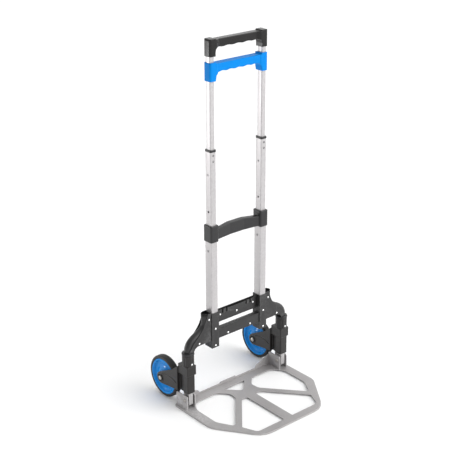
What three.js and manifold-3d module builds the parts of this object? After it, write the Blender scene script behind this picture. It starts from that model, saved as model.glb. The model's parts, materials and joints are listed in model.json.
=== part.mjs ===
// Folding hand truck: a nose plate that folds up, wheels that swing in with it, and a telescopic frame.
// Millimetres, +Z up. The plate reaches forward along -Y, the wheels stand behind along +Y, and the
// left side is -X. The origin is on the floor, under the centre of the truck's bounding box.
import * as THREE from 'three';
import Module from 'manifold-3d';
import { mergeVertices } from 'three/addons/utils/BufferGeometryUtils.js';

const wasm = await Module();
wasm.setup();

// ---------- driving dimensions ----------
const GAP = 0.3; // clearance between fixed neighbours
const RUN = 0.4; // clearance between pieces that move past each other
const SHEET = 1.5; // pressed steel of the base housing

const PLATE = { half: 198, rear: 39, front: -245, nose: 111, shoulder: -120, top: 5, sheet: 2.5, rim: 3 };
const EAR = { inner: 14.5, sheet: 2.5, front: -12, rear: 38, top: 47, chamfer: 7 };
const LIP = { height: 9, tab: 13, tabHalf: 29, ramp: 106, rampFoot: 17.5, rampTop: 38 };
const PIVOT = { y: 0, z: 31, pin: 3.2, hole: 3.6, head: 4.8, headLength: 2.6 };

const LEG = { x: 176, radius: 11, wall: 1.5, bottom: 57.5, kneeLow: 183, kneeHigh: 258, top: 266, topX: 115 };
const LUG = { half: 7, front: -9.5, rear: 8, bottom: 14, spigotTop: 87 };
const WHEEL = { y: 103.5, radius: 62.5, width: 21.5, rim: 53 };
const FORK = { inner: 13, outer: 19.5, tip: 17.5, boss: 21, bossRadius: 13, bottom: 55, front: 26, rear: 38 };
const AXLE = { radius: 3.5, head: 6.5, headLength: 2.8 };
const BUSH_RADIUS = 7;
const BARREL = { half: 13, front: -13.5, rear: 8.5, top: 142.5 };
const SHOULDER = { half: 16, front: -16, rear: 27, bottom: 112, top: 140.5 };
const WEB_HALF = 9.5;
const NECK = { bottom: 139, top: 173.5, radius: 17, rivetZ: 148.5 };
const COLLAR = { bottom: 174, top: 181, radius: 18 };

const UPRIGHT_X = 89;
const OUTER = { x: 22, y: 27.5, wall: 1.5, bottom: 174.5, top: 527 };
const MIDDLE = { x: 18, y: 23, wall: 1.3, bottom: 438, top: 744 };
const INNER = { x: 14.5, y: 18, wall: 1.3, bottom: 664, top: 1038 };
const OUTER_HOLE_Z = 463;
const MIDDLE_HOLES_Z = [576, 681];
const LOCK = { radius: 2.8, hole: 3.1, length: 5 };
const PLUG_LENGTH = 14;
const TUBE_COLLAR = { bottom: 744.3, top: 750, grow: 2 };

const HOUSING = { top: 278.5, bottom: 171, wingTop: 281, legEnd: 181.5, band: [194.5, 224], shelf: 15 };
const CHANNEL = { half: 12.8, front: 15.6 };
const WING_Y = 12.8; // outer face of a wing, measured from the centre plane of the uprights
const UPPER_BAND = { bottom: 238, top: 271, y: -2, hooks: [36, 51], hookWidth: 5, hookDepth: 10 };
const RIVET = { shank: 1.7, hole: 2, head: 3, dome: 1.4 };

const CROSSBAR = { bottom: 490, top: 537, wall: 3, front: -10.5, rear: 5, barBottom: 493, barTop: 522, arch: 6,
  bow: 7 };
const BLACK = { half: 98.5, bottom: 996.5, under: 1019, top: 1042, depth: 26, fillet: 12, topRadius: 4.5,
  setback: 6, flare: 14, drop: 3 };
const BLUE = { half: 98.5, bottom: 932.5, under: 957, top: 981.5, depth: 27, fillet: 22, topRadius: 2.5,
  setback: 1.5, flare: 5, drop: 4 };
const HANDLE_LEG = 19.5;
const FINGER_WAVES = { count: 4, height: 2, steps: 20 };

const UPRIGHT_Y = -(PLATE.front + WHEEL.y + WHEEL.radius) / 2; // centres the bounding box on Y = 0

// ---------- materials ----------
function paint(color, roughness, metalness) {
  return new THREE.MeshStandardMaterial({ color, roughness, metalness });
}
const ALUMINIUM = paint(0xc9c9cc, 0.35, 0.9);
const PLATE_METAL = paint(0xaaa8a8, 0.5, 0.8);
const STEEL = paint(0xd0d0d0, 0.3, 1);
const BLACK_STEEL = paint(0x38383a, 0.6, 0.4);
const BLACK_PLASTIC = paint(0x2b2b2d, 0.5, 0);
const BLUE_PLASTIC = paint(0x0a8cf0, 0.35, 0);
const RUBBER = paint(0x161616, 0.8, 0);

// ---------- geometry helpers ----------
const ALONG_X = new THREE.Matrix4().makeBasis(
  new THREE.Vector3(0, 1, 0), new THREE.Vector3(0, 0, 1), new THREE.Vector3(1, 0, 0));

function solid(geometry) {
  const bare = geometry.clone();
  bare.deleteAttribute('normal');
  bare.deleteAttribute('uv');
  const merged = mergeVertices(bare, 1e-4);
  const index = merged.index.array;
  const triangles = [];
  for (let i = 0; i < index.length; i += 3) {
    const [a, b, c] = [index[i], index[i + 1], index[i + 2]];
    if (a !== b && b !== c && c !== a) triangles.push(a, b, c);
  }
  const vertProperties = merged.attributes.position.array;
  const triVerts = Uint32Array.from(triangles);
  return new wasm.Manifold(new wasm.Mesh({ numProp: 3, vertProperties, triVerts }));
}

function surface(manifold) {
  const { vertProperties, triVerts } = manifold.getMesh();
  const geometry = new THREE.BufferGeometry();
  geometry.setAttribute('position', new THREE.BufferAttribute(vertProperties, 3));
  geometry.setIndex(new THREE.BufferAttribute(triVerts, 1));
  geometry.computeVertexNormals();
  return geometry;
}

function block([x0, x1], [y0, y1], [z0, z1]) {
  const geometry = new THREE.BoxGeometry(x1 - x0, y1 - y0, z1 - z0);
  return solid(geometry.translate((x0 + x1) / 2, (y0 + y1) / 2, (z0 + z1) / 2));
}

// A closed outline whose corners are rounded: each point is [x, y] or [x, y, corner radius].
// It always runs counter-clockwise, so that an outline can hold another as its hole.
function outline(corners, path = new THREE.Shape()) {
  const flat = corners.map(([x, y]) => new THREE.Vector2(x, y));
  const points = THREE.ShapeUtils.isClockWise(flat) ? [...corners].reverse() : corners;
  points.forEach(([x, y, radius = 0], i) => {
    const here = new THREE.Vector2(x, y);
    const before = new THREE.Vector2(...points.at(i - 1).slice(0, 2));
    const after = new THREE.Vector2(...points[(i + 1) % points.length].slice(0, 2));
    const enter = here.clone().add(before.sub(here).setLength(radius));
    const leave = here.clone().add(after.sub(here).setLength(radius));
    if (i === 0) path.moveTo(enter.x, enter.y);
    else path.lineTo(enter.x, enter.y);
    if (radius > 0) path.quadraticCurveTo(x, y, leave.x, leave.y);
  });
  path.closePath();
  return path;
}

function mirrorX(points) {
  return points.map(([x, ...rest]) => [-x, ...rest]).reverse();
}

function extrude(shape, depth, curveSegments = 3) {
  return new THREE.ExtrudeGeometry(shape, { depth, bevelEnabled: false, curveSegments });
}
// An (x, y) outline raised along Z, an (x, z) outline along Y, and a (y, z) outline along X.
function raised(shape, [z0, z1]) {
  return solid(extrude(shape, z1 - z0).translate(0, 0, z0));
}
function deep(shape, [y0, y1]) {
  return solid(extrude(shape, y1 - y0).rotateX(Math.PI / 2).translate(0, y1, 0));
}
function wide(shape, [x0, x1], curveSegments) {
  return solid(extrude(shape, x1 - x0, curveSegments).applyMatrix4(ALONG_X).translate(x0, 0, 0));
}

// A profile of [radius, height] points, turned about Z; it is closed by going back to its first point.
function turned(profile, segments = 24) {
  const points = [...profile, profile[0]].map(([r, h]) => new THREE.Vector2(r, h));
  return solid(new THREE.LatheGeometry(points, segments).rotateX(Math.PI / 2));
}
function turnedX(profile, segments = 24) {
  return turned(profile, segments).rotate([0, 90, 0]);
}

function rectangle(x, y, radius) {
  const [a, b] = [x / 2, y / 2];
  return [[a, -b, radius], [a, b, radius], [-a, b, radius], [-a, -b, radius]];
}

// A tube's section, made larger by a margin on every side.
function grown({ x, y }, margin, radius) {
  return rectangle(x + 2 * margin, y + 2 * margin, radius);
}

const truck = new THREE.Group();
truck.position.y = UPRIGHT_Y;

function add(name, manifold, material) {
  const mesh = new THREE.Mesh(surface(manifold), material);
  mesh.name = name;
  truck.add(mesh);
}

const SIDES = [['left', -1], ['right', 1]];

// ---------- nose plate ----------
function nosePlate() {
  const right = [
    [PLATE.half, PLATE.rear, 9], [PLATE.half, PLATE.shoulder, 12], [PLATE.nose, PLATE.front, 31],
  ];
  const rimmed = right.map(([x, y, r]) => [x - PLATE.rim, y < 0 ? y + PLATE.rim * 0.7 : y - PLATE.rim, r - 2]);
  const sideWindow = [[68, 8, 8], [144, 8, 14], [169, -24, 14], [169, -111, 8], [144, -154, 4],
    [135, -154, 3.5], [44, -49, 8], [41, -21, 8]];
  const frontWindow = [[16, -66, 7], [35, -65, 7], [131, -177, 4], [112, -221, 10], [16, -221, 3.5]];
  const rearWindow = [[40, 10, 4], [0, -31, 10], [-40, 10, 4]];
  const windows = [rearWindow];
  for (const half of [sideWindow, frontWindow]) windows.push(half, mirrorX(half));
  const sheet = outline([...right, ...mirrorX(right)]);
  const skirt = outline([...right, ...mirrorX(right)]);
  skirt.holes.push(outline([...rimmed, ...mirrorX(rimmed)], new THREE.Path()));
  const bottom = PLATE.top - PLATE.sheet;
  let plate = raised(sheet, [bottom, PLATE.top]).add(raised(skirt, [0, bottom + GAP]));
  for (const window of windows) plate = plate.subtract(raised(outline(window), [-1, PLATE.top + 1]));
  plate = plate.add(rearLip());
  for (const [, s] of SIDES) plate = plate.add(ear(s));
  add('nose_plate', plate, PLATE_METAL);
}

// The rear edge is turned up: low in the middle with a raised tab, and ramped up beside the ears.
function rearLip() {
  const inside = LEG.x - EAR.inner;
  const right = [[inside, PLATE.top - 1], [inside, LIP.rampTop, 3], [LIP.ramp + 6, LIP.rampFoot, 3],
    [LIP.ramp, LIP.height], [LIP.tabHalf + 2, LIP.height], [LIP.tabHalf, LIP.tab, 2]];
  return deep(outline([...right, ...mirrorX(right)]), [PLATE.rear - PLATE.sheet, PLATE.rear]);
}

// Two upstanding flanges, one on each side of the leg, that carry the pivot bolt.
function ear(s) {
  const side = [[EAR.rear, PLATE.top - 1], [EAR.rear, EAR.top, EAR.chamfer], [EAR.front, EAR.top, EAR.chamfer],
    [EAR.front, PLATE.top - 1]];
  const flange = outline(side);
  flange.holes.push(new THREE.Path().absarc(PIVOT.y, PIVOT.z, PIVOT.hole, 0, 2 * Math.PI, true));
  const centre = s * LEG.x;
  const inner = wide(flange, [centre - EAR.inner, centre - EAR.inner + EAR.sheet], 4);
  return inner.add(wide(flange, [centre + EAR.inner - EAR.sheet, centre + EAR.inner], 4));
}

function pivotBolt(name, s) {
  const grip = EAR.inner + GAP;
  const end = grip + PIVOT.headLength;
  const bolt = turnedX([[0, -end], [PIVOT.head - 1, -end], [PIVOT.head, 1 - end], [PIVOT.head, -grip],
    [PIVOT.pin, -grip], [PIVOT.pin, grip], [PIVOT.head, grip], [PIVOT.head, end - 1], [PIVOT.head - 1, end],
    [0, end]], 12);
  add(name, bolt.translate([s * LEG.x, PIVOT.y, PIVOT.z]), STEEL);
}

// ---------- legs and wheel brackets ----------
function legTube(name, s) {
  const route = new THREE.CurvePath();
  const at = (x, z) => new THREE.Vector3(s * x, 0, z);
  const foot = at(LEG.x, LEG.bottom);
  const kneeLow = at(LEG.x, LEG.kneeLow);
  const kneeHigh = at(LEG.topX, LEG.kneeHigh);
  route.add(new THREE.LineCurve3(foot, kneeLow));
  const pull = (LEG.kneeHigh - LEG.kneeLow) * 0.58;
  const [pullLow, pullHigh] = [at(LEG.x, LEG.kneeLow + pull), at(LEG.topX, LEG.kneeHigh - pull)];
  route.add(new THREE.CubicBezierCurve3(kneeLow, pullLow, pullHigh, kneeHigh));
  route.add(new THREE.LineCurve3(kneeHigh, at(LEG.topX, LEG.top)));
  const rod = solid(new THREE.ExtrudeGeometry(
    new THREE.Shape().absarc(0, 0, LEG.radius, 0, 2 * Math.PI),
    { extrudePath: route, steps: 18, curveSegments: 6, bevelEnabled: false }));
  const bore = turned([[0, LEG.bottom - 1], [LEG.radius - LEG.wall, LEG.bottom - 1],
    [LEG.radius - LEG.wall, NECK.top], [0, NECK.top]], 16).translate([s * LEG.x, 0, 0]);
  add(name, rod.subtract(bore), BLACK_STEEL);
}

function legCollar(name, s) {
  const inner = LEG.radius + GAP;
  const ring = turned([[inner, COLLAR.bottom], [COLLAR.radius, COLLAR.bottom], [COLLAR.radius, COLLAR.top - 2],
    [COLLAR.radius - 2, COLLAR.top], [inner, COLLAR.top]], 16);
  add(name, ring.translate([s * LEG.x, 0, 0]), BLACK_PLASTIC);
}

// Tongue between the ear flanges, with a round spigot up inside the leg tube.
function hingeLug(name, s) {
  const top = FORK.bottom - RUN;
  const tongue = outline([[LUG.front, LUG.bottom, 6], [LUG.rear, LUG.bottom, 6], [LUG.rear, top],
    [LUG.front, top]]);
  tongue.holes.push(new THREE.Path().absarc(PIVOT.y, PIVOT.z, PIVOT.hole, 0, 2 * Math.PI, true));
  const spigotRadius = LEG.radius - LEG.wall - GAP;
  const spigot = turned([[0, top - 1], [spigotRadius, top - 1], [spigotRadius, LUG.spigotTop],
    [0, LUG.spigotTop]], 12);
  const lug = wide(tongue, [-LUG.half, LUG.half], 4).add(spigot);
  add(name, lug.translate([s * LEG.x, 0, 0]), ALUMINIUM);
}

// Barrel and neck that turn on the leg, a yoke behind them, and two tines that hold the wheel.
function wheelBracket(name, s) {
  const sole = FORK.bottom;
  const hubZ = WHEEL.radius;
  const column = ({ half, front, rear }, radius) => outline(
    [[half, front, radius], [half, rear, radius], [-half, rear, radius], [-half, front, radius]]);
  let bracket = raised(column(BARREL, 3.5), [FORK.bottom, BARREL.top]);
  bracket = bracket.add(raised(column(SHOULDER, 2.5), [SHOULDER.bottom, SHOULDER.top]));
  const webDepth = [BARREL.rear - 1.5, FORK.front + 2];
  bracket = bracket.add(block([-WEB_HALF, WEB_HALF], webDepth, [sole, SHOULDER.bottom + 1]));
  bracket = bracket.add(turned([[0, NECK.bottom], [NECK.radius, NECK.bottom], [NECK.radius, NECK.top],
    [0, NECK.top]], 20));
  const yokeSide = outline([[FORK.front, sole], [FORK.rear, sole], [FORK.rear, 121.5], [FORK.front, 132]]);
  bracket = bracket.add(wide(yokeSide, [-FORK.outer, FORK.outer]));
  const tineSide = outline([[FORK.front, sole], [54, 52], [WHEEL.y - 2, hubZ - FORK.tip], [WHEEL.y, hubZ],
    [WHEEL.y + 8, hubZ + FORK.tip * 0.9], [52, 110], [FORK.front, 132]]);
  const hub = turnedX([[0, FORK.inner], [FORK.tip, FORK.inner], [FORK.tip, FORK.outer],
    [FORK.bossRadius, FORK.outer], [FORK.bossRadius, FORK.boss - 1], [FORK.bossRadius - 1, FORK.boss],
    [0, FORK.boss]], 16).translate([0, WHEEL.y, hubZ]);
  const tine = wide(tineSide, [FORK.inner, FORK.outer]).add(hub);
  bracket = bracket.add(tine).add(tine.mirror([1, 0, 0]));
  const [bore, above] = [LEG.radius + RUN, NECK.top + 1];
  bracket = bracket.subtract(turned([[0, sole - 1], [bore, sole - 1], [bore, above], [0, above]], 20));
  const [axle, clear] = [AXLE.radius + GAP, FORK.boss + 5];
  const axleHole = turnedX([[0, -clear], [axle, -clear], [axle, clear], [0, clear]], 12);
  bracket = bracket.subtract(axleHole.translate([0, WHEEL.y, hubZ]));
  bracket = bracket.subtract(rivetHole(0, -NECK.radius, NECK.rivetZ));
  add(name, bracket.translate([s * LEG.x, 0, 0]), BLACK_PLASTIC);
}

function atWheel(manifold, s) {
  return manifold.translate([s * LEG.x, WHEEL.y, WHEEL.radius]);
}

function wheelAxle(name, s) {
  const grip = FORK.boss + GAP;
  const end = grip + AXLE.headLength;
  const axle = turnedX([[0, -end], [AXLE.head - 1.5, -end], [AXLE.head, 1 - end], [AXLE.head, -grip],
    [AXLE.radius, -grip], [AXLE.radius, grip], [AXLE.head, grip], [AXLE.head, end - 1], [AXLE.head - 1.5, end],
    [0, end]], 12);
  add(name, atWheel(axle, s), STEEL);
}

function wheelBush(name, s) {
  const half = FORK.inner - RUN;
  const bore = AXLE.radius + GAP;
  const bush = turnedX([[bore, -half], [BUSH_RADIUS, -half], [BUSH_RADIUS, half], [bore, half]], 12);
  add(name, atWheel(bush, s), BLACK_PLASTIC);
}

// Dished disc: a hub, a thin web and a deep outer flange.
function wheelRim(name, s) {
  const half = [[BUSH_RADIUS + GAP, 10.5], [13, 10.5], [26, 3], [43.5, 3], [48.5, 9], [WHEEL.rim, 9.5]];
  const right = [...half].reverse();
  const rim = turnedX([...half.map(([r, h]) => [r, -h]), ...right], 24);
  add(name, atWheel(rim, s), BLUE_PLASTIC);
}

function tyre(name, s) {
  const [bore, face] = [WHEEL.rim + GAP, WHEEL.width / 2];
  const half = [[bore, 9.5], [56.5, face], [61, face - 1], [WHEEL.radius, face - 4.5]];
  const right = [...half].reverse();
  const ring = turnedX([...half.map(([r, h]) => [r, -h]), ...right], 32);
  add(name, atWheel(ring, s), RUBBER);
}

// ---------- rivets ----------
// A domed rivet at (x, z) whose head stands on a face at y and whose shank runs back through the sheet.
function rivet(name, x, y, z) {
  const { shank, head, dome } = RIVET;
  const profile = [[0, -dome], [head * 0.6, -dome], [head, 0], [shank, 0], [shank, SHEET + GAP],
    [0, SHEET + GAP]];
  const piece = turned(profile, 8).rotate([-90, 0, 0]).translate([x, y - GAP, z]);
  add(name, piece, STEEL);
}

function rivetHole(x, y, z) {
  const [front, back] = [-2, 2 * SHEET];
  const hole = turned([[0, front], [RIVET.hole, front], [RIVET.hole, back], [0, back]], 8);
  return hole.rotate([-90, 0, 0]).translate([x, y, z]);
}

const STRIP_RIVETS_Z = [229.5, 178];
const WING_RIVETS = [[110, 263], [145, 201]];
const FACE_RIVETS = [];
for (const [side, s] of SIDES) {
  const places = [['upper_strip', UPRIGHT_X, CHANNEL.front, STRIP_RIVETS_Z[0]],
    ['lower_strip', UPRIGHT_X, CHANNEL.front, STRIP_RIVETS_Z[1]],
    ['upper_wing', WING_RIVETS[0][0], WING_Y, WING_RIVETS[0][1]],
    ['lower_wing', WING_RIVETS[1][0], WING_Y, WING_RIVETS[1][1]],
    ['lower_band', 41, WING_Y, 201.5], ['upper_band', 61, -UPPER_BAND.y, 259.5]];
  for (const [place, x, y, z] of places) FACE_RIVETS.push([`${place}_rivet_${side}`, s * x, -y, z]);
}
FACE_RIVETS.push(['centre_band_rivet', 0, UPPER_BAND.y, 253]);

// ---------- base housing ----------
function wingOutline(s) {
  const root = CHANNEL.half + UPRIGHT_X - SHEET;
  const edge = [[root, HOUSING.wingTop], [114, HOUSING.wingTop, 2.5], [120, 260.5, 7], [128.5, 243, 8.5],
    [142.5, 226.5, 10.5], [164, 208.5, 12], [177, 188.5, 7], [180.5, HOUSING.legEnd], [164, HOUSING.legEnd],
    [160.5, 190, 6.5], [149.5, HOUSING.band[0], 5], [root, HOUSING.band[0]]];
  return outline(s > 0 ? edge : mirrorX(edge));
}

// One half of the channel that wraps an upright: a face and two side walls that stop at the centre plane.
function channel(s, face, bottom) {
  const centre = s * UPRIGHT_X;
  const side = Math.sign(face);
  const [outer, inner] = [CHANNEL.half, CHANNEL.half - SHEET];
  const depth = side < 0 ? [face, -GAP] : [GAP, face];
  const cover = side < 0 ? [face, face + SHEET] : [face - SHEET, face];
  let part = block([centre - outer, centre + outer], cover, [bottom, HOUSING.top]);
  for (const [, t] of SIDES) {
    const wall = [centre + t * inner, centre + t * outer].sort((a, b) => a - b);
    part = part.add(block(wall, depth, [bottom, HOUSING.top]));
  }
  return part;
}

function baseFrontShell() {
  const reach = UPRIGHT_X - CHANNEL.half + SHEET;
  const shelfTop = HOUSING.band[1];
  let shell = block([-reach, reach], [-WING_Y, SHEET - WING_Y], HOUSING.band);
  const shelfReach = reach - SHEET - GAP;
  const shelfDepth = [-WING_Y, HOUSING.shelf - WING_Y];
  shell = shell.add(block([-shelfReach, shelfReach], shelfDepth, [shelfTop - SHEET, shelfTop]));
  shell = shell.add(deep(outline(upperBand(reach)), [UPPER_BAND.y, UPPER_BAND.y + SHEET]));
  for (const [, s] of SIDES) {
    shell = shell.add(channel(s, -CHANNEL.front, HOUSING.bottom));
    shell = shell.add(deep(wingOutline(s), [-WING_Y, SHEET - WING_Y]));
  }
  for (const [, x, y, z] of FACE_RIVETS) shell = shell.subtract(rivetHole(x, y, z));
  add('base_front_shell', shell, BLACK_STEEL);
}

// The upper cross band, with a pair of hook slots in its top edge near each upright.
function upperBand(reach) {
  const { bottom, top, hooks, hookWidth, hookDepth } = UPPER_BAND;
  const right = [[reach, bottom], [reach, HOUSING.top - 1], [68, HOUSING.top - 1, 2.5],
    [61, top + 2, 2.5]];
  for (const x of [...hooks].reverse()) {
    right.push([x + hookWidth / 2, top + 2, 1.5], [x + hookWidth / 2, top - hookDepth, 2.5]);
    right.push([x - hookWidth / 2, top - hookDepth, 2.5], [x - hookWidth / 2, top + 2, 1.5]);
  }
  right.push([26, top, 3]);
  return [...right, ...mirrorX(right)];
}

function baseRearShell() {
  const reach = UPRIGHT_X - CHANNEL.half + SHEET;
  const bandDepth = [WING_Y - SHEET, WING_Y];
  let shell = block([-reach, reach], bandDepth, [HOUSING.band[0], HOUSING.band[1] - 8]);
  shell = shell.add(block([-reach, reach], bandDepth, [UPPER_BAND.bottom, UPPER_BAND.top]));
  for (const [, s] of SIDES) {
    shell = shell.add(channel(s, CHANNEL.front, HOUSING.bottom));
    shell = shell.add(deep(wingOutline(s), [WING_Y - SHEET, WING_Y]));
  }
  add('base_rear_shell', shell, BLACK_STEEL);
}

// ---------- telescopic tubes ----------
function rectTube({ x, y, wall, bottom, top }, holesZ = []) {
  const shape = outline(rectangle(x, y, 3));
  shape.holes.push(outline(grown({ x, y }, -wall, 1.8), new THREE.Path()));
  let tube = raised(shape, [bottom, top]);
  for (const z of holesZ) {
    const drill = turnedX([[0, -x], [LOCK.hole, -x], [LOCK.hole, 0], [0, 0]], 12);
    tube = tube.subtract(drill.translate([0, 0, z]));
  }
  return tube;
}

function ontoUpright(name, s, manifold, material) {
  add(name, manifold.translate([s * UPRIGHT_X, 0, 0]), material);
}

// Round lock pin behind a hole in the outboard-left wall; its nose is flush with its own tube.
function lockPin(name, s, tube, z) {
  const nose = -tube.x / 2;
  const pin = turnedX([[0, nose], [LOCK.radius, nose], [LOCK.radius, nose + LOCK.length],
    [0, nose + LOCK.length]], 12);
  ontoUpright(name, s, pin.translate([0, 0, z]), STEEL);
}

// Plastic plug that guides a tube's lower end inside the next tube.
function glidePlug(name, s, tube, around) {
  const [x, y] = [around.x, around.y].map((size) => size - 2 * (around.wall + RUN));
  const shape = outline(rectangle(x, y, 1.5));
  ontoUpright(name, s, raised(shape, [tube.bottom - PLUG_LENGTH, tube.bottom - GAP]), BLACK_PLASTIC);
}

function tubeCollar(name, s) {
  const { bottom, top, grow } = TUBE_COLLAR;
  const shape = outline(grown(MIDDLE, grow / 2, 3.5));
  shape.holes.push(outline(grown(INNER, RUN, 3), new THREE.Path()));
  ontoUpright(name, s, raised(shape, [bottom, top]), BLACK_PLASTIC);
}

// ---------- crossbar and handles ----------
function crossbar() {
  const { bottom, top, wall, front: face, rear, barBottom, barTop, arch, bow } = CROSSBAR;
  const end = UPRIGHT_X - OUTER.x / 2 - 1;
  const front = new THREE.Shape();
  front.moveTo(-end, barBottom);
  front.lineTo(end, barBottom);
  front.lineTo(end, barTop);
  front.quadraticCurveTo(0, barTop + 2 * arch, -end, barTop);
  front.closePath();
  const plan = new THREE.Shape();
  plan.moveTo(-end, face);
  plan.quadraticCurveTo(0, face + 2 * bow, end, face);
  plan.lineTo(end, rear);
  plan.quadraticCurveTo(0, rear + 2 * bow, -end, rear);
  plan.closePath();
  let bar = deep(front, [-40, 40]).intersect(raised(plan, [barBottom - 5, top + 20]));
  for (const [, s] of SIDES) {
    const clamp = raised(outline(grown(OUTER, wall, 5)), [bottom, top]);
    const socket = raised(outline(grown(OUTER, GAP, 3)), [bottom - 1, OUTER.top + GAP]);
    const mouth = raised(outline(grown(MIDDLE, RUN, 3)), [bottom, top + 1]);
    bar = bar.add(clamp.translate([s * UPRIGHT_X, 0, 0]));
    bar = bar.subtract(socket.add(mouth).translate([s * UPRIGHT_X, 0, 0]));
  }
  add('crossbar', bar, BLACK_PLASTIC);
}

// U-shaped handle with finger waves under the bar and a rounded fillet into each leg. The bar stands
// a little behind the legs and below their tops.
function handleBody({ half, bottom, under, top, depth, fillet, topRadius, setback, flare, drop }) {
  const inside = half - HANDLE_LEG;
  const shape = new THREE.Shape();
  shape.moveTo(-half, bottom);
  shape.lineTo(HANDLE_LEG - half, bottom);
  shape.lineTo(-inside, under - fillet);
  shape.quadraticCurveTo(-inside, under, fillet - inside, under);
  const { count, steps, height } = FINGER_WAVES;
  const span = 2 * (inside - fillet);
  for (let i = 1; i <= steps; i += 1) {
    const t = i / steps;
    shape.lineTo(fillet - inside + span * t, under - height * Math.sin(Math.PI * count * t) ** 2);
  }
  shape.quadraticCurveTo(inside, under, inside, under - fillet);
  shape.lineTo(inside, bottom);
  shape.lineTo(half, bottom);
  shape.lineTo(half, top - topRadius);
  shape.quadraticCurveTo(half, top, half - topRadius, top);
  shape.lineTo(topRadius - half, top);
  shape.quadraticCurveTo(-half, top, -half, top - topRadius);
  shape.closePath();
  const plan = outline(rectangle(2 * half, depth, 6));
  const body = deep(shape, [-depth / 2, depth / 2]).intersect(raised(plan, [bottom - 1, top + 1]));
  const reach = inside - 2;
  const [front, sunk] = [-depth / 2 - 1, setback - depth / 2];
  const recess = outline([[reach, front], [-reach, front], [flare - reach, sunk], [reach - flare, sunk]]);
  const step = block([-reach, reach], [-depth, depth], [top - drop, top + 1]);
  return body.subtract(raised(recess, [under - 5, top + 1])).subtract(step);
}

function socketedHandle(name, body, clearance, [z0, z1], material) {
  let handle = body;
  for (const [, s] of SIDES) {
    const socket = raised(outline(grown(INNER, clearance, 3)), [z0, z1]);
    handle = handle.subtract(socket.translate([s * UPRIGHT_X, 0, 0]));
  }
  add(name, handle, material);
}

// ---------- assembly ----------
nosePlate();
for (const [side, s] of SIDES) {
  pivotBolt(`plate_pivot_bolt_${side}`, s);
  legTube(`leg_tube_${side}`, s);
  legCollar(`leg_collar_${side}`, s);
  hingeLug(`hinge_lug_${side}`, s);
  wheelBracket(`wheel_bracket_${side}`, s);
  wheelAxle(`wheel_axle_${side}`, s);
  wheelBush(`wheel_bush_${side}`, s);
  wheelRim(`wheel_rim_${side}`, s);
  tyre(`tyre_${side}`, s);
  rivet(`neck_rivet_${side}`, s * LEG.x, -NECK.radius, NECK.rivetZ);
}
baseFrontShell();
baseRearShell();
for (const [name, x, y, z] of FACE_RIVETS) rivet(name, x, y, z);
for (const [side, s] of SIDES) {
  ontoUpright(`outer_tube_${side}`, s, rectTube(OUTER, [OUTER_HOLE_Z]), ALUMINIUM);
  ontoUpright(`middle_tube_${side}`, s, rectTube(MIDDLE, [OUTER_HOLE_Z, ...MIDDLE_HOLES_Z]), ALUMINIUM);
  ontoUpright(`inner_tube_${side}`, s, rectTube(INNER, [MIDDLE_HOLES_Z[1]]), ALUMINIUM);
  lockPin(`middle_lock_pin_${side}`, s, MIDDLE, OUTER_HOLE_Z);
  lockPin(`inner_lock_pin_${side}`, s, INNER, MIDDLE_HOLES_Z[1]);
  glidePlug(`middle_glide_plug_${side}`, s, MIDDLE, OUTER);
  glidePlug(`inner_glide_plug_${side}`, s, INNER, MIDDLE);
  tubeCollar(`tube_collar_${side}`, s);
}
crossbar();
socketedHandle('release_handle', handleBody(BLUE), RUN, [BLUE.bottom - 1, BLUE.top + 1], BLUE_PLASTIC);
socketedHandle('upper_handle', handleBody(BLACK), GAP, [BLACK.bottom - 1, INNER.top + GAP], BLACK_PLASTIC);

export default truck;
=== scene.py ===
"""Looks of the folding hand truck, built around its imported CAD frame."""
import json
import math

import bmesh
import bpy
from mathutils import Matrix, Vector


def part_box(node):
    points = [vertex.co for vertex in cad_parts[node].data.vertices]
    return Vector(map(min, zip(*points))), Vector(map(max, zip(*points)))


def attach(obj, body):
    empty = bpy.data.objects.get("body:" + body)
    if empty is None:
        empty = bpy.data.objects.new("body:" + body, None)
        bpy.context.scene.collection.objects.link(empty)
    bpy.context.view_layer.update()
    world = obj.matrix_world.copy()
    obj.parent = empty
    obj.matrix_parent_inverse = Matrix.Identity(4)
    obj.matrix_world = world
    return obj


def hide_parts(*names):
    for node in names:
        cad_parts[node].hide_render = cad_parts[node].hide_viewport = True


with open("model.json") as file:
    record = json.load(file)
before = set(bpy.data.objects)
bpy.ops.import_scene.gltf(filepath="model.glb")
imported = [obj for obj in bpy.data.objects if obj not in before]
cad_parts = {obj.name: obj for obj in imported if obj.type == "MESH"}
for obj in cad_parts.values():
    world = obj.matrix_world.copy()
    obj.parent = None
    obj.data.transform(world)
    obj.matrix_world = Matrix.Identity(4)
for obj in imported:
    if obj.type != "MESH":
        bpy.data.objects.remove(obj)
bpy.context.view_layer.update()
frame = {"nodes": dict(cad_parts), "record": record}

MM = 0.001
SIDES = (("left", -1), ("right", 1))
SLOTS = {s["node"]: s["material_slot"] for s in frame["record"]["subparts"]}
BODIES = {n: b for b, nodes in frame["record"]["behaviour"]["bodies"].items() for n in nodes}


def middle(node):
    low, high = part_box(node)
    return (low + high) / 2


UPRIGHT_Y = middle("outer_tube_right").y
LEG_X = abs(middle("wheel_bracket_right").x)
WHEEL = middle("tyre_right")
LEG_KNEES = (183 * MM, 258 * MM)   # heights where the leg leaves the lug's line and joins the base's
LEG_PULL = 0.58                    # how far each knee rounds the bend, as a share of their distance
LEG_INTO_SHELL = 8 * MM            # the leg runs this much further up inside the base shell
ARM_FACE = 19.5 * MM               # outer face of the wheel bracket's arms, from the leg's axis
COLUMN_HALF = 13 * MM
NECK_RADIUS = 17 * MM
NECK_FLUTES = 10
CLIP_DROPS = (("upper", 9.5 * MM), ("lower", 25.5 * MM))   # below the top of the middle tube
CAMERA_PLACE = (-1.83782, -2.08332, 1.66290)
CAMERA_TURN = (math.radians(90 - 22.792), 0, math.radians(-40.817))
CAMERA_LENS = 84.81


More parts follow.
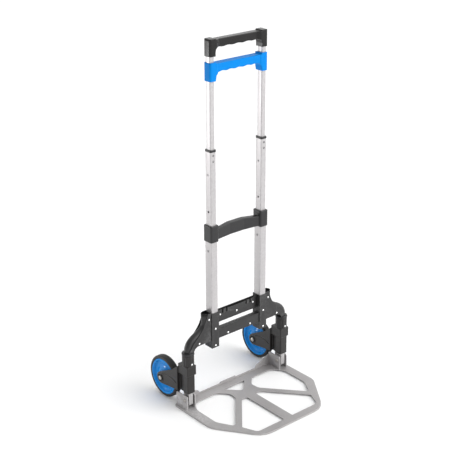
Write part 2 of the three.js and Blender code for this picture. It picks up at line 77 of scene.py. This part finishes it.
# ---------- materials ----------
def noise(tree, coords, scale, detail=4, roughness=0.55, stretch=(1, 1, 1)):
    mapping = tree.nodes.new("ShaderNodeMapping")
    mapping.inputs["Scale"].default_value = stretch
    texture = tree.nodes.new("ShaderNodeTexNoise")
    texture.inputs["Scale"].default_value = scale
    texture.inputs["Detail"].default_value = detail
    texture.inputs["Roughness"].default_value = roughness
    tree.links.new(coords.outputs["Object"], mapping.inputs["Vector"])
    tree.links.new(mapping.outputs["Vector"], texture.inputs["Vector"])
    return texture.outputs["Fac"]


def remap(tree, value, low, high, start=0.3, end=0.7):
    node = tree.nodes.new("ShaderNodeMapRange")
    node.inputs["From Min"].default_value = start
    node.inputs["From Max"].default_value = end
    node.inputs["To Min"].default_value = low
    node.inputs["To Max"].default_value = high
    tree.links.new(value, node.inputs["Value"])
    return node.outputs["Result"]


def mix(tree, factor, a, b):
    """Blends colour a, a tuple or a socket, towards the colour b."""
    node = tree.nodes.new("ShaderNodeMix")
    node.data_type = "RGBA"
    if isinstance(a, tuple):
        node.inputs["A"].default_value = (*a, 1)
    else:
        tree.links.new(a, node.inputs["A"])
    node.inputs["B"].default_value = (*b, 1)
    tree.links.new(factor, node.inputs["Factor"])
    return node.outputs["Result"]


def tinted(colour, factor):
    return tuple(min(1.0, c * factor) for c in colour)


def finish(name, colour, roughness, metallic=0.0, grain=900, grain_depth=0.02, patch=0.06, wear_and_edge_highlight=0.35,
           wear_and_edge_highlight_colour=None, stretch=(1, 1, 1), coat=0.0, specular=0.5, spread=0.12):
    """A material with patchy colour, uneven roughness, a fine grain and lighter edges, partly rubbed wear and
    partly a painted edge highlight.
    """
    material = bpy.data.materials.new(name)
    material.use_nodes = True
    tree = material.node_tree
    shader = tree.nodes["Principled BSDF"]
    shader.inputs["Metallic"].default_value = metallic
    shader.inputs["Specular IOR Level"].default_value = specular
    shader.inputs["Coat Weight"].default_value = coat
    shader.inputs["Coat Roughness"].default_value = 0.18
    coords = tree.nodes.new("ShaderNodeTexCoord")
    patches = noise(tree, coords, 14, detail=5)
    fine = noise(tree, coords, grain, detail=3, stretch=stretch)
    tone = mix(tree, remap(tree, patches, 0, 1), tinted(colour, 1 - patch), tinted(colour, 1 + patch))
    geometry = tree.nodes.new("ShaderNodeNewGeometry")
    # Lighter colour on pointy edges: partly rubbed wear, partly a painted edge highlight.
    edges = remap(tree, geometry.outputs["Pointiness"], 0, wear_and_edge_highlight, 0.53, 0.62)
    worn_and_highlit = tree.nodes.new("ShaderNodeMath")
    worn_and_highlit.operation = "MULTIPLY"
    tree.links.new(edges, worn_and_highlit.inputs[0])
    tree.links.new(remap(tree, noise(tree, coords, 160, detail=6), 0.2, 1, 0.4, 0.6), worn_and_highlit.inputs[1])
    rubbed_and_highlit = mix(tree, worn_and_highlit.outputs["Value"], tone, wear_and_edge_highlight_colour or tinted(colour, 2.2))
    tree.links.new(rubbed_and_highlit, shader.inputs["Base Color"])
    uneven = remap(tree, patches, roughness * (1 - spread), roughness * (1 + spread))
    tree.links.new(uneven, shader.inputs["Roughness"])
    bump = tree.nodes.new("ShaderNodeBump")
    bump.inputs["Strength"].default_value = 0.35
    bump.inputs["Distance"].default_value = grain_depth * MM
    tree.links.new(fine, bump.inputs["Height"])
    tree.links.new(bump.outputs["Normal"], shader.inputs["Normal"])
    return material


# Each edge colour given below lightens the edges: partly rubbed wear, partly a painted edge highlight.
MATERIALS = {
    "plate": finish("plate", (0.375, 0.362, 0.362), 0.5, metallic=0.35, grain=1400, grain_depth=0.05,
                    wear_and_edge_highlight_colour=(0.75, 0.75, 0.76)),
    "tube_alloy": finish("tube_alloy", (0.47, 0.455, 0.46), 0.36, metallic=0.65, grain=420, grain_depth=0.012,
                         stretch=(9, 9, 0.25), patch=0.02, wear_and_edge_highlight_colour=(0.9, 0.9, 0.9)),
    "lug_alloy": finish("lug_alloy", (0.40, 0.39, 0.39), 0.4, metallic=0.6, grain=900, grain_depth=0.03),
    "bolt_steel": finish("bolt_steel", (0.42, 0.40, 0.37), 0.28, metallic=1.0, grain=1500, grain_depth=0.01),
    "rivet_steel": finish("rivet_steel", (0.9, 0.9, 0.9), 0.22, metallic=0.6, grain=1500, grain_depth=0.01),
    "pin_steel": finish("pin_steel", (0.35, 0.35, 0.36), 0.3, metallic=1.0, grain=1500, grain_depth=0.01),
    "housing_steel": finish("housing_steel", (0.016, 0.0155, 0.016), 0.42, grain=750, grain_depth=0.25,
                            wear_and_edge_highlight_colour=(0.16, 0.16, 0.16), patch=0.1),
    "bracket_plastic": finish("bracket_plastic", (0.011, 0.0095, 0.009), 0.38, grain=1100, grain_depth=0.09,
                              wear_and_edge_highlight_colour=(0.13, 0.125, 0.12)),
    "collar_plastic": finish("collar_plastic", (0.010, 0.010, 0.011), 0.36, grain=1000, grain_depth=0.05),
    "bush_plastic": finish("bush_plastic", (0.02, 0.02, 0.02), 0.5, grain=1000, grain_depth=0.05),
    "crossbar_plastic": finish("crossbar_plastic", (0.010, 0.010, 0.011), 0.36, grain=1100, grain_depth=0.08,
                               wear_and_edge_highlight_colour=(0.14, 0.14, 0.14)),
    "wheel_blue": finish("wheel_blue", (0.0, 0.245, 0.70), 0.24, grain=500, grain_depth=0.02, patch=0.06,
                         wear_and_edge_highlight_colour=(0.03, 0.36, 0.95), coat=0.45, specular=0.05),
    "tyre_rubber": finish("tyre_rubber", (0.006, 0.006, 0.006), 0.5, grain=1300, grain_depth=0.12,
                          wear_and_edge_highlight_colour=(0.05, 0.05, 0.05)),
    "handle_blue": finish("handle_blue", (0.0, 0.21, 0.64), 0.42, grain=900, grain_depth=0.05, patch=0.04,
                          wear_and_edge_highlight_colour=(0.0, 0.40, 0.95), specular=0.08),
    "handle_black": finish("handle_black", (0.006, 0.0055, 0.0055), 0.26, grain=900, grain_depth=0.05,
                           wear_and_edge_highlight_colour=(0.10, 0.10, 0.10), coat=0.2, specular=0.25),
}


# ---------- mesh helpers ----------
def place(name, mesh, node, replaces=True):
    """Puts a mesh on the body and material slot of a CAD node, and lets it stand for that node."""
    piece = bpy.data.objects.new(name, mesh)
    bpy.context.scene.collection.objects.link(piece)
    mesh.materials.clear()
    mesh.materials.append(MATERIALS[SLOTS[node]])
    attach(piece, BODIES[node])
    if replaces:
        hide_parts(node)
    return piece


def smooth(mesh, angle=35):
    mesh.polygons.foreach_set("use_smooth", [True] * len(mesh.polygons))
    mesh.set_sharp_from_angle(angle=math.radians(angle))


def to_mesh(bm, name, angle=35):
    mesh = bpy.data.meshes.new(name)
    bmesh.ops.recalc_face_normals(bm, faces=bm.faces)
    bm.to_mesh(mesh)
    bm.free()
    smooth(mesh, angle)
    return mesh


def baked(piece):
    """The piece's mesh with its modifiers worked in."""
    bpy.context.view_layer.update()
    mesh = bpy.data.meshes.new_from_object(piece.evaluated_get(bpy.context.evaluated_depsgraph_get()))
    bpy.data.objects.remove(piece)
    return mesh


def loose(name, mesh):
    piece = bpy.data.objects.new(name, mesh)
    bpy.context.scene.collection.objects.link(piece)
    return piece


def cad_copy(node):
    """The node's shape with its flat faces joined up again."""
    bm = bmesh.new()
    bm.from_mesh(frame["nodes"][node].data)
    bmesh.ops.remove_doubles(bm, verts=bm.verts, dist=1e-6)
    bmesh.ops.dissolve_limit(bm, angle_limit=math.radians(0.5), verts=bm.verts, edges=bm.edges)
    return bm


def refined(node, bevel=0.4, segments=2, angle=35):
    """A sheet or machined part: the CAD shape with its sharp edges broken."""
    piece = place(f"{node}_finished", to_mesh(cad_copy(node), node, angle), node)
    broken = piece.modifiers.new("edges", "BEVEL")
    broken.width = bevel * MM
    broken.segments = segments
    broken.limit_method = "ANGLE"
    broken.angle_limit = math.radians(angle)
    broken.harden_normals = True
    return piece


def turned(profile, axis, centre, segments=64):
    """A closed [radius, height] profile in mm, turned about X, Y or Z through a point."""
    bm = bmesh.new()
    rings = []
    for i in range(segments):
        angle = 2 * math.pi * i / segments
        c, s = math.cos(angle), math.sin(angle)
        rings.append([bm.verts.new((r * MM * c, r * MM * s, h * MM)) for r, h in profile])
    for i, ring in enumerate(rings):
        following = rings[(i + 1) % segments]
        for j in range(len(profile)):
            k = (j + 1) % len(profile)
            bm.faces.new((ring[j], following[j], following[k], ring[k]))
    bmesh.ops.remove_doubles(bm, verts=bm.verts, dist=1e-7)
    turn = {"X": Matrix.Rotation(math.pi / 2, 4, "Y"), "Y": Matrix.Rotation(-math.pi / 2, 4, "X"),
            "Z": Matrix.Identity(4)}[axis]
    bm.transform(Matrix.Translation(centre) @ turn)
    return bm


def slab(x, y, z):
    """A closed box between pairs of bounds, in metres."""
    bm = bmesh.new()
    bmesh.ops.create_cube(bm, size=1)
    size = Vector((x[1] - x[0], y[1] - y[0], z[1] - z[0]))
    centre = Vector((x[0] + x[1], y[0] + y[1], z[0] + z[1])) / 2
    bm.transform(Matrix.Translation(centre) @ Matrix.Diagonal((*size, 1)))
    return bm


def merged(parts, name):
    """Several closed shapes in one mesh."""
    whole = bmesh.new()
    for part in parts:
        mesh = bpy.data.meshes.new(name)
        part.to_mesh(mesh)
        part.free()
        whole.from_mesh(mesh)
        bpy.data.meshes.remove(mesh)
    mesh = bpy.data.meshes.new(name)
    whole.to_mesh(mesh)
    whole.free()
    return mesh


def moulded(node, cuts=(), voxel=0.8, passes=5):
    """A moulded plastic part: the CAD shape with cuts taken out and its edges melted round."""
    piece = loose(node + "_raw", merged([cad_copy(node)], node))
    if cuts:
        cutter = loose(node + "_cutter", merged(cuts, node + "_cutter"))
        cut = piece.modifiers.new("cut", "BOOLEAN")
        cut.operation = "DIFFERENCE"
        cut.solver = "EXACT"
        cut.use_self = True
        cut.object = cutter
    melt = piece.modifiers.new("melt", "REMESH")
    melt.mode = "VOXEL"
    melt.voxel_size = voxel * MM
    relax = piece.modifiers.new("relax", "SMOOTH")
    relax.factor = 0.5
    relax.iterations = passes
    mesh = baked(piece)
    if cuts:
        bpy.data.objects.remove(cutter)
    smooth(mesh, 60)
    return place(f"{node}_moulded", mesh, node)


# ---------- wheels ----------
def wheel(side, s):
    hub = Vector((s * WHEEL.x, WHEEL.y, WHEEL.z))
    disc = [(7.3, 10.5), (11.6, 10.5), (13, 10), (15.5, 9), (19, 8.1), (23, 7.1), (27, 5.8),
            (30, 4.3), (32.5, 3), (35.5, 2.3), (39, 2.2), (42, 2.8), (44.6, 4.2), (46.4, 6.4),
            (47.4, 8.6), (48.4, 9.8), (51.2, 10.1), (52.6, 9.9), (53, 9.3)]
    rim = turned([(r, -h) for r, h in disc] + disc[::-1], "X", hub, 96)
    place(f"wheel_disc_{side}", to_mesh(rim, "rim"), f"wheel_rim_{side}")
    shoulder = [(53.3, 9.3), (54.2, 10.4), (56, 10.75), (58.6, 10.4), (60.4, 9.5), (61.7, 8), (62.3, 6.4),
                (62.45, 4.4), (61.6, 4.1), (61.6, 3.3), (62.5, 3.0), (62.5, 0.8), (61.7, 0.5)]
    rubber = turned([(r, -h) for r, h in shoulder] + shoulder[::-1], "X", hub, 96)
    place(f"tread_{side}", to_mesh(rubber, "tyre", 50), f"tyre_{side}")
    half = [(3.4, 21.3), (6.5, 21.3), (6.5, 22.1), (6.1, 22.8), (5.0, 23.6), (3, 24), (0, 24.1)]
    axle = turned([(0, -24.1)] + [(r, -h) for r, h in half[::-1][1:]] + half, "X", hub, 40)
    place(f"axle_bolt_{side}", to_mesh(axle, "axle"), f"wheel_axle_{side}")


def pivot_bolt(side):
    centre = middle(f"plate_pivot_bolt_{side}")
    half = [(3.2, 14.8), (4.8, 14.8), (4.8, 16), (4.2, 17), (2.8, 17.4), (1.6, 17.3), (1.2, 16.6), (0, 16.5)]
    bolt = turned([(r, -h) for r, h in half[::-1]] + half, "X", centre, 32)
    place(f"hinge_bolt_{side}", to_mesh(bolt, "bolt"), f"plate_pivot_bolt_{side}")


def rivet_head(node):
    """A domed rivet with a shallow dimple left by the setting tool."""
    low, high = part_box(node)
    front = Vector(((low.x + high.x) / 2, low.y, (low.z + high.z) / 2))
    profile = [(0, 0.35), (0.7, 0.3), (1.0, 0), (1.7, 0.15), (2.5, 0.65), (2.95, 1.15), (3, 1.4), (1.7, 1.4),
               (1.7, 3.1), (0, 3.1)]
    rivet = turned(profile, "Y", front, 24)
    place(node + "_head", to_mesh(rivet, "rivet", 50), node)


# ---------- legs, brackets ----------
def leg(side, s):
    """The bent leg tube: a smooth sweep along the CAD tube's route, ending a little higher in the shell."""
    low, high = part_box(f"leg_tube_{side}")
    radius = (high.y - low.y) / 2
    top_x = s * (min(abs(low.x), abs(high.x)) + radius)
    pull = (LEG_KNEES[1] - LEG_KNEES[0]) * LEG_PULL
    curve = bpy.data.curves.new(f"leg_route_{side}", "CURVE")
    curve.dimensions = "3D"
    curve.resolution_u = 24
    curve.bevel_depth = radius
    curve.bevel_resolution = 8
    curve.use_fill_caps = True
    spline = curve.splines.new("BEZIER")
    stops = [(s * LEG_X, low.z, 20 * MM), (s * LEG_X, LEG_KNEES[0], pull),
             (top_x, LEG_KNEES[1], pull), (top_x, high.z + LEG_INTO_SHELL, 5 * MM)]
    spline.bezier_points.add(len(stops) - 1)
    for point, (x, z, reach) in zip(spline.bezier_points, stops):
        point.co = (x, UPRIGHT_Y, z)
        point.handle_left = (x, UPRIGHT_Y, z - reach)
        point.handle_right = (x, UPRIGHT_Y, z + reach)
    piece = loose("leg_sweep", curve)
    mesh = baked(piece)
    smooth(mesh, 50)
    tube = place(f"leg_sweep_{side}", mesh, f"leg_tube_{side}")
    rounding = tube.modifiers.new("rounding", "BEVEL")
    rounding.width = 3 * MM
    rounding.segments = 4
    rounding.limit_method = "ANGLE"
    rounding.angle_limit = math.radians(60)


def groove(x, path, width, depth):
    """A shallow channel cut along (y, z) points into a face at x."""
    cuts = []
    for (y0, z0), (y1, z1) in zip(path, path[1:]):
        run = math.hypot(y1 - y0, z1 - z0)
        bar = slab((x - depth, x + depth), (-0.3 * width, run + 0.3 * width), (-width / 2, width / 2))
        bar.transform(Matrix.Translation((0, y0, z0)) @ Matrix.Rotation(math.atan2(z1 - z0, y1 - y0), 4, "X"))
        cuts.append(bar)
    return cuts


def bracket(side, s):
    """The wheel bracket: a fluted neck, seams down the column, and a ring and a contour line on each arm."""
    x, y = s * LEG_X, UPRIGHT_Y
    cuts = []
    for i in range(NECK_FLUTES):
        angle = 2 * math.pi * (i + 0.5) / NECK_FLUTES
        centre = Vector((x + NECK_RADIUS * math.cos(angle), y + NECK_RADIUS * math.sin(angle), 0))
        flute = slab((-1.2 * MM, 1.2 * MM), (-2 * MM, 2 * MM), (143 * MM, 170 * MM))
        flute.transform(Matrix.Translation(centre) @ Matrix.Rotation(angle, 4, "Z"))
        cuts.append(flute)
    line = [(y + a * MM, b * MM) for a, b in ((30, 76), (42, 81), (54, 84), (68, 85), (82, 83), (92, 79))]
    hub_ring = [(8.2, -1.6), (11.2, -1.6), (11.2, 1.6), (8.2, 1.6)]
    for t in (-1, 1):
        face = x + t * ARM_FACE
        cuts += groove(face, line, 2.4 * MM, 1.8 * MM)
        cuts.append(turned(hub_ring, "X", Vector((face, WHEEL.y, WHEEL.z)), 32))
        corner = x + t * COLUMN_HALF
        cuts.append(slab((corner - MM, corner + MM), (y - 15 * MM, y - 12.2 * MM), (50 * MM, 145 * MM)))
    moulded(f"wheel_bracket_{side}", cuts, voxel=0.75, passes=4)


def stage_clips(side):
    """The two dark clips below each tube collar, lying almost flush in the front of the tube."""
    low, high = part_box(f"middle_tube_{side}")
    for name, below in CLIP_DROPS:
        front = Vector(((low.x + high.x) / 2, low.y, high.z - below))
        profile = [(0, 0.1), (1.3, 0.1), (1.7, -0.15), (2.9, -0.15), (3.2, 0.3), (3.2, 1), (0, 1)]
        clip = turned(profile, "Y", front, 24)
        place(f"collar_clip_{name}_{side}", to_mesh(clip, "clip"), f"tube_collar_{side}", replaces=False)


for side, s in SIDES:
    wheel(side, s)
    pivot_bolt(side)
    leg(side, s)
    bracket(side, s)
    stage_clips(side)
    refined(f"leg_collar_{side}", 0.5)
    refined(f"hinge_lug_{side}", 0.6)
    refined(f"outer_tube_{side}", 0.3)
    refined(f"middle_tube_{side}", 0.25)
    refined(f"inner_tube_{side}", 0.25)
    refined(f"tube_collar_{side}", 0.5, 3)

for node in frame["nodes"]:
    if "_rivet" in node:
        rivet_head(node)

refined("nose_plate", 0.5)
refined("base_front_shell", 0.35)
refined("base_rear_shell", 0.35)
moulded("crossbar", voxel=0.8, passes=14)
moulded("release_handle", voxel=0.8, passes=6)
moulded("upper_handle", voxel=0.8, passes=5)

for node, shape in frame["nodes"].items():
    if not shape.hide_render:
        shape.data.materials.clear()
        shape.data.materials.append(MATERIALS[SLOTS[node]])


# ---------- studio ----------
def studio():
    world = bpy.data.worlds.new("studio")
    bpy.context.scene.world = world
    world.use_nodes = True
    background = world.node_tree.nodes["Background"]
    background.inputs["Color"].default_value = (1, 1, 1, 1)
    tree = world.node_tree
    coords = tree.nodes.new("ShaderNodeTexCoord")
    split = tree.nodes.new("ShaderNodeSeparateXYZ")
    tree.links.new(coords.outputs["Generated"], split.inputs["Vector"])
    shaded = remap(tree, split.outputs["X"], 0.42, 1.1, -0.8, 0.1)
    tree.links.new(shaded, background.inputs["Strength"])
    bpy.ops.mesh.primitive_plane_add(size=40, location=(0, 0, -0.0005))
    floor = bpy.context.object
    floor.name = "floor"
    paper = bpy.data.materials.new("floor")
    paper.use_nodes = True
    shader = paper.node_tree.nodes["Principled BSDF"]
    shader.inputs["Base Color"].default_value = (0.96, 0.96, 0.96, 1)
    shader.inputs["Roughness"].default_value = 0.9
    floor.data.materials.append(paper)
    sun = bpy.data.lights.new("key", "SUN")
    sun.energy = 2.0
    sun.angle = math.radians(60)
    aim("key", sun, (0.45, -0.8, 0.8))
    softbox = bpy.data.lights.new("fill", "AREA")
    softbox.size = 0.3
    softbox.energy = 8
    aim("fill", softbox, (-1.75, 1.65, 0.36))


def aim(name, light, place_at):
    holder = bpy.data.objects.new(name, light)
    holder.location = place_at
    holder.rotation_euler = (Vector((0, 0, 0.4)) - Vector(place_at)).to_track_quat("-Z", "Y").to_euler()
    bpy.context.scene.collection.objects.link(holder)


def camera():
    lens = bpy.data.cameras.new("camera")
    lens.lens = CAMERA_LENS
    lens.sensor_width = 36
    holder = bpy.data.objects.new("camera", lens)
    holder.location = CAMERA_PLACE
    holder.rotation_euler = CAMERA_TURN
    bpy.context.scene.collection.objects.link(holder)
    bpy.context.scene.camera = holder


studio()
camera()
bpy.context.scene.view_settings.view_transform = "Standard"
